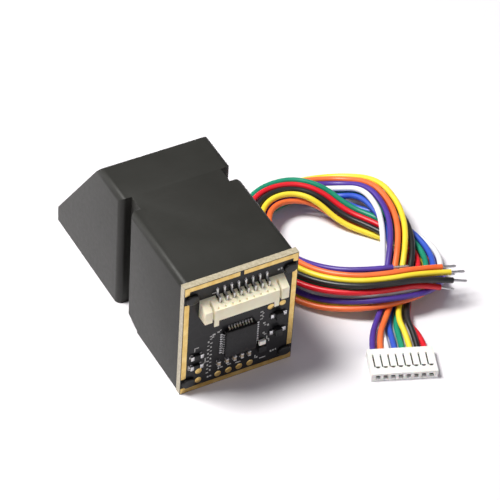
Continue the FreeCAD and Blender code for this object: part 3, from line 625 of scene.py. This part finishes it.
# marks printed on the board, none of them a letter: x, z, width, height in millimetres
PRINTED_MARKS = (
    # double row of dashes left of the processor, and the strokes above it
    [(-5.3 + 0.5 * (k % 2), 2.9 + 0.43 * k, (0.42, 0.26, 0.36)[k % 3], (0.22, 0.34, 0.18)[k % 3])
     for k in range(17)]
    + [(-4.9 + 0.35 * (k % 2), 10.3 + 0.3 * k, 0.42, 0.2) for k in range(3)]
    + [(-4.4, 11.1, 0.5, 0.34), (-3.6, 11.35, 0.42, 0.3), (-3.2, 11.6, 0.3, 0.2)]
    # beside the diodes on the right
    + [(4.1 + 0.3 * (k % 2), 11.0 + 0.4 * k, (0.5, 0.28)[k % 2], 0.22) for k in range(5)]
    + [(4.7, 9.9, 0.42, 0.34), (4.9, 9.4, 0.36, 0.2), (5.4, 9.2, 0.3, 0.42), (4.7, 7.7, 0.36, 0.3),
       (5.0, 7.3, 0.42, 0.2)]
    # corners round the diodes on the left
    + [(-7.4, 9.3, 0.8, 0.16), (-7.72, 8.9, 0.16, 0.7), (-5.75, 5.9, 0.16, 1.1),
       (-6.05, 5.4, 0.6, 0.16), (-8.75, 5.4, 0.16, 1.0), (-8.4, 4.9, 0.7, 0.16)]
    # round the status light, and by the lower right stake
    + [(3.45, 6.15, 0.16, 0.9), (3.62, 6.6, 0.4, 0.16), (5.35, 6.4, 0.16, 0.7), (5.75, 5.7, 0.16, 0.6),
       (5.55, 6.0, 0.36, 0.16), (6.25, 2.9, 0.3, 0.36), (6.72, 2.95, 0.34, 0.28), (7.15, 3.0, 0.16, 0.36)]
    # along the test pads, and at the top corners
    + [(4.8, 2.1, 1.1, 0.2), (3.4, 2.85, 0.16, 0.7), (3.72, 2.6, 0.3, 0.34), (-5.1, 1.9, 0.28, 0.34),
       (-4.65, 1.95, 0.34, 0.26), (-3.2, 3.05, 0.28, 0.34), (-2.7, 3.1, 0.4, 0.22),
       (-1.3, 3.15, 0.6, 0.2), (0.3, 2.95, 0.9, 0.18), (6.6, 20.9, 0.34, 0.34), (7.1, 21.0, 0.28, 0.4),
       (-4.8, 20.4, 0.7, 0.18)]
)


def make_print():
    shape = bmesh.new()
    face = FACE_Y / MM
    for x, z, width, height in PRINTED_MARKS:
        low = Vector((x - width / 2, face - INK_DEPTH, z - height / 2))
        high = Vector((x + width / 2, face + INK_DEPTH, z + height / 2))
        rounded_block(shape, low * MM, high * MM, INK_EDGE * MM, 1)
    add_piece("board_print", shape, WHITE_INK, "module")


# ---------------------------------------------------------------- lead: where it lies
PLUG_ROW = ("violet", "orange", "white", "blue", "green", "yellow", "black", "red")
BUNDLE_ORDER = ("violet", "orange", "yellow", "black", "red", "green", "blue", "white")
WIRE, PITCH, LAYER_RISE = 1.0, 1.25, 1.28    # wire diameter, spacing, upper layer over the lower
PLUG_MIDDLE, PLUG_TURN = (25.3, -31.4), math.radians(-20.7)
PLUG_LENGTH, PLUG_THICKNESS, WIRE_IN_PLUG = 5.7, 1.6, 0.8

# where the ribbon of wires goes: x, y, height of its lower layer, and how far it has twisted
STATIONS = (
    (30.2, -21.4, 0.5, 0.0), (32.6, -17.6, 0.5, 0.0), (34.4, -13.8, 0.7, 0.1),
    (36.8, -10.0, 2.4, 0.4), (39.0, -5.4, 3.1, 0.7), (40.2, -0.2, 3.1, 1.0),
    (39.9, 5.6, 2.8, 1.2), (36.8, 10.0, 0.6, 1.4), (31.4, 12.0, 0.5, 1.6),
    (25.4, 12.4, 0.5, 1.8), (19.6, 10.4, 0.5, 2.0), (16.0, 5.4, 0.5, 2.1),
    (15.4, -0.6, 0.5, 2.2), (16.8, -6.4, 0.5, 2.4), (19.8, -12.0, 0.5, 2.6),
    (24.4, -16.4, 2.0, 2.8), (30.0, -19.0, 3.0, 3.0), (35.6, -19.5, 3.1, 3.3),
    (40.2, -16.0, 0.9, 3.7), (41.5, -10.8, 0.5, 4.3), (40.4, -5.2, 0.5, 4.8),
    (37.6, -0.8, 0.5, 5.2), (34.2, 3.2, 0.6, 5.6), (31.0, 7.6, 3.0, 5.9),
    (27.0, 10.6, 3.1, 6.2), (21.8, 10.2, 3.1, 6.5), (18.2, 6.4, 3.1, 6.8),
    (16.9, 1.0, 3.1, 7.1), (17.2, -5.4, 3.3, 7.4), (20.0, -11.6, 4.2, 7.7),
    (24.8, -16.0, 5.1, 7.9), (30.0, -18.0, 5.5, 8.0), (34.8, -18.9, 5.5, 8.0),
)
# first places out of the plug: sideways, ahead of its rear face, height
FAN = {
    "violet": ((-4.2, 3.0, 1.0), (-2.5, 7.0, 1.6)), "orange": ((-2.95, 3.0, 1.4), (-1.1, 7.0, 1.8)),
    "white": ((-1.95, 3.0, 0.6), (-2.1, 7.0, 0.5)), "blue": ((-0.65, 3.0, 0.6), (-0.8, 7.0, 0.5)),
    "green": ((0.55, 3.0, 0.6), (0.5, 7.0, 0.5)), "yellow": ((1.7, 3.0, 1.35), (0.7, 7.0, 1.75)),
    "black": ((2.95, 3.0, 1.4), (2.1, 7.0, 1.8)), "red": ((4.2, 3.0, 0.65), (2.3, 7.0, 0.5)),
}
# free end of each wire; one stops short and leaves out the last stations
TAIL = {
    "violet": (31.7, -16.5, 6.8), "orange": (39.6, -19.0, 5.9), "yellow": (40.4, -20.5, 5.7),
    "black": (40.0, -22.0, 5.3), "white": (38.6, -17.8, 4.6), "blue": (39.4, -19.2, 4.5),
    "green": (39.4, -20.6, 4.4), "red": (37.9, -21.7, 4.3),
}
SHORT_WIRE, STATIONS_LEFT_OUT = "violet", 2


def plug_side(place):
    """How far a way of the plug lies from its middle line, by its place in the row."""
    return (place - (len(PLUG_ROW) - 1) / 2) * PITCH


def plug_point(side, ahead, z):
    """Point given from the middle of the plug's rear face."""
    ahead += PLUG_LENGTH / 2
    return Vector((PLUG_MIDDLE[0] + side * math.cos(PLUG_TURN) - ahead * math.sin(PLUG_TURN),
                   PLUG_MIDDLE[1] + side * math.sin(PLUG_TURN) + ahead * math.cos(PLUG_TURN), z))


def bundle_place(phase):
    """Sideways place and height of a wire in the two-layer ribbon, going round its oval."""
    phase %= len(BUNDLE_ORDER)
    lower = len(BUNDLE_ORDER) // 2           # first place of the lower layer
    last_upper, last_lower = lower - 1, 2 * lower - 1
    half, bend = last_upper / 2 * PITCH, LAYER_RISE / 2
    if phase <= last_upper:
        return phase * PITCH - half, LAYER_RISE
    if phase < lower:
        turn = (phase - last_upper) * math.pi
        return half + bend * math.sin(turn), bend + bend * math.cos(turn)
    if phase <= last_lower:
        return half - (phase - lower) * PITCH, 0.0
    turn = (phase - last_lower) * math.pi
    return -half - bend * math.sin(turn), bend - bend * math.cos(turn)


def wire_points(name):
    """Control points of one wire in millimetres, from inside the plug to its free end."""
    points = [plug_point(plug_side(PLUG_ROW.index(name)), -WIRE_IN_PLUG, PLUG_THICKNESS / 2)]
    points += [plug_point(*spot) for spot in FAN[name]]
    for k in range(1, len(STATIONS)):
        x, y, z, twist = STATIONS[k]
        before, after = STATIONS[k - 1], STATIONS[min(k + 1, len(STATIONS) - 1)]
        dx, dy = after[0] - before[0], after[1] - before[1]
        run = math.hypot(dx, dy)
        lateral, height = bundle_place(BUNDLE_ORDER.index(name) + twist)
        points.append(Vector((x + dy / run * lateral, y - dx / run * lateral, z + height)))
    if name == SHORT_WIRE:
        points = points[:-STATIONS_LEFT_OUT]
    return points + [Vector(TAIL[name])]


# ---------------------------------------------------------------- lead: its pieces
TIP_LENGTH, TIP_RADIUS = 2.6, 0.19
STRANDS, RIDGE_RISE = 7, 0.16                # strands in the outer layer, how far each stands out
TIP_STEPS, TWIST_PER_STEP, END_TAPER = 12, math.radians(24), 0.55
# tab in the plug's window: rear edge of the window from the nose, then the tab's two corners
WINDOW_FROM_NOSE = 1.75
TAB_LOW, TAB_HIGH, TAB_EDGE = Vector((-0.13, -0.29, 1.135)), Vector((0.47, -0.02, 1.49)), 0.06


def make_wire(name, points):
    """Round sleeve of one wire along a smooth curve."""
    curve = bpy.data.curves.new(f"insulation_{name}", "CURVE")
    curve.dimensions = "3D"
    curve.bevel_depth = WIRE / 2 * MM
    curve.bevel_resolution = 4
    curve.resolution_u = 8
    curve.use_fill_caps = True
    spline = curve.splines.new("NURBS")
    spline.points.add(len(points) - 1)
    for spot, point in zip(spline.points, points):
        spot.co = (*(point * MM), 1)
    spline.order_u = 3
    spline.use_endpoint_u = True
    curve.materials.append(MATERIALS[f"insulation_{name}"])
    piece = bpy.data.objects.new(f"insulation_{name}", curve)
    bpy.context.collection.objects.link(piece)
    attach(piece, "harness")
    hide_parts(f"wire_{name}")
    return piece


def make_tip(name, start, way):
    """Twisted tinned strands that stick out of one wire."""
    shape = bmesh.new()
    ring = bmesh.ops.create_circle(shape, cap_ends=True, segments=4 * STRANDS,
                                   radius=TIP_RADIUS * MM)["verts"]
    for k, vertex in enumerate(ring):
        vertex.co *= 1 + RIDGE_RISE * abs(math.sin(STRANDS / 2 * math.tau * k / len(ring)))
    face = shape.faces[:][0]
    twist = Matrix.Rotation(TWIST_PER_STEP, 3, "Z")
    for k in range(TIP_STEPS):
        made = bmesh.ops.extrude_face_region(shape, geom=[face])
        moved = [v for v in made["geom"] if isinstance(v, bmesh.types.BMVert)]
        narrowing = END_TAPER if k == TIP_STEPS - 1 else 1.0
        bmesh.ops.translate(shape, verts=moved, vec=(0, 0, TIP_LENGTH * MM / TIP_STEPS))
        bmesh.ops.rotate(shape, verts=moved, cent=(0, 0, 0), matrix=twist)
        bmesh.ops.scale(shape, verts=moved, vec=(narrowing, narrowing, 1))
        if k and face.is_valid:
            shape.faces.remove(face)
        face = next(f for f in made["geom"] if isinstance(f, bmesh.types.BMFace))
    turn = Vector((0, 0, 1)).rotation_difference(way).to_matrix().to_4x4()
    bmesh.ops.transform(shape, matrix=Matrix.Translation(start) @ turn, verts=shape.verts)
    return add_piece(f"strands_{name}", shape, "tin", "harness", ["wire_tips"], 50)


def make_plug():
    return add_piece("plug_moulding", softened("plug_housing", 0.08 * MM), "plug_plastic", "harness",
                     ["plug_housing"], 40)


def make_latch_tabs():
    """Sprung tab of each contact, bent up into its window in the plug; its near-black metal is painted
    shade of the window.
    """
    shape = bmesh.new()
    for k in range(len(PLUG_ROW)):
        across = Vector((plug_side(k), 0, 0))
        rounded_block(shape, (TAB_LOW + across) * MM, (TAB_HIGH + across) * MM, TAB_EDGE * MM)
    window = plug_point(0, WINDOW_FROM_NOSE - PLUG_LENGTH, 0)
    set_down = Matrix.Translation(window * MM) @ Matrix.Rotation(PLUG_TURN, 4, "Z")
    bmesh.ops.transform(shape, matrix=set_down, verts=shape.verts)
    return add_piece("latch_tabs", shape, CONTACT_PAINTED_SHADE, "harness")


def make_lead():
    """Plug, latch tabs, wires and stripped ends, all riding on the harness."""
    plug = make_plug()
    tabs = make_latch_tabs()
    for name in PLUG_ROW:
        points = wire_points(name)
        wire = make_wire(name, points)
        way = (points[-1] - points[-2]).normalized()
        tip = make_tip(name, points[-1] * MM, way)


# ---------------------------------------------------------------- studio
TABLE_HALF = 3                               # metres from the table's middle to its edge
LIGHT_AIM = (0.01, -0.005, 0.01)
AZIMUTH, ELEVATION, ROLL = math.radians(-30.82), math.radians(43.14), math.radians(-4.01)
CAMERA_AIM, CAMERA_DISTANCE = Vector((6.80, -12.03, 16.83)) * MM, 479.5 * MM
LENS, SENSOR = 216, 36


def make_floor():
    shape = bmesh.new()
    bmesh.ops.create_grid(shape, x_segments=1, y_segments=1, size=TABLE_HALF)
    mesh = bpy.data.meshes.new("table")
    shape.to_mesh(mesh)
    shape.free()
    mesh.materials.append(plain("table_white", (0.80, 0.78, 0.81), 0.7))
    floor = bpy.data.objects.new("table", mesh)
    bpy.context.collection.objects.link(floor)


def soft_light(name, place, size, power, colour=(1, 1, 1)):
    """Square area light that faces the module."""
    data = bpy.data.lights.new(name, "AREA")
    data.size = size
    data.energy = power
    data.color = colour
    light = bpy.data.objects.new(name, data)
    light.location = place
    light.rotation_euler = (Vector(LIGHT_AIM) - Vector(place)).to_track_quat("-Z", "Y").to_euler()
    bpy.context.collection.objects.link(light)


def make_lights():
    """Key from behind on the left, and two weak boxes that fill the side and the board."""
    world = bpy.data.worlds.new("studio")
    world.use_nodes = True
    sky = world.node_tree.nodes["Background"]
    sky.inputs["Color"].default_value = (0.97, 0.90, 1.0, 1)
    sky.inputs["Strength"].default_value = 0.21
    bpy.context.scene.world = world
    bpy.context.scene.view_settings.view_transform = "Standard"
    soft_light("key_box", (-0.19, 0.11, 0.50), size=0.17, power=4.0, colour=(1.0, 1.0, 0.97))
    soft_light("left_box", (-0.18, 0.20, 0.10), size=0.12, power=0.16)
    soft_light("front_box", (0.05, -0.50, 0.30), size=0.35, power=0.35)


def make_camera():
    """Long lens looking down at the board's corner."""
    back = Vector((math.sin(AZIMUTH) * math.cos(ELEVATION), -math.cos(AZIMUTH) * math.cos(ELEVATION),
                   math.sin(ELEVATION)))
    right = Vector((math.cos(AZIMUTH), math.sin(AZIMUTH), 0))
    turn = Matrix((right, back.cross(right), back)).transposed() @ Matrix.Rotation(-ROLL, 3, "Z")
    data = bpy.data.cameras.new("camera")
    data.lens = LENS
    data.sensor_width = SENSOR
    data.clip_start = 0.01
    camera = bpy.data.objects.new("camera", data)
    camera.matrix_world = Matrix.Translation(CAMERA_AIM + back * CAMERA_DISTANCE) @ turn.to_4x4()
    bpy.context.collection.objects.link(camera)
    bpy.context.scene.camera = camera


dress_frame()
make_housing()
make_window()
make_melted_stakes()
make_pads()
make_processor()
make_processor_leads()
make_small_parts()
make_solder_joints()
make_diode_fillets()
make_header()
make_header_leads()
make_header_solder()
make_print()
make_lead()
make_floor()
make_lights()
make_camera()
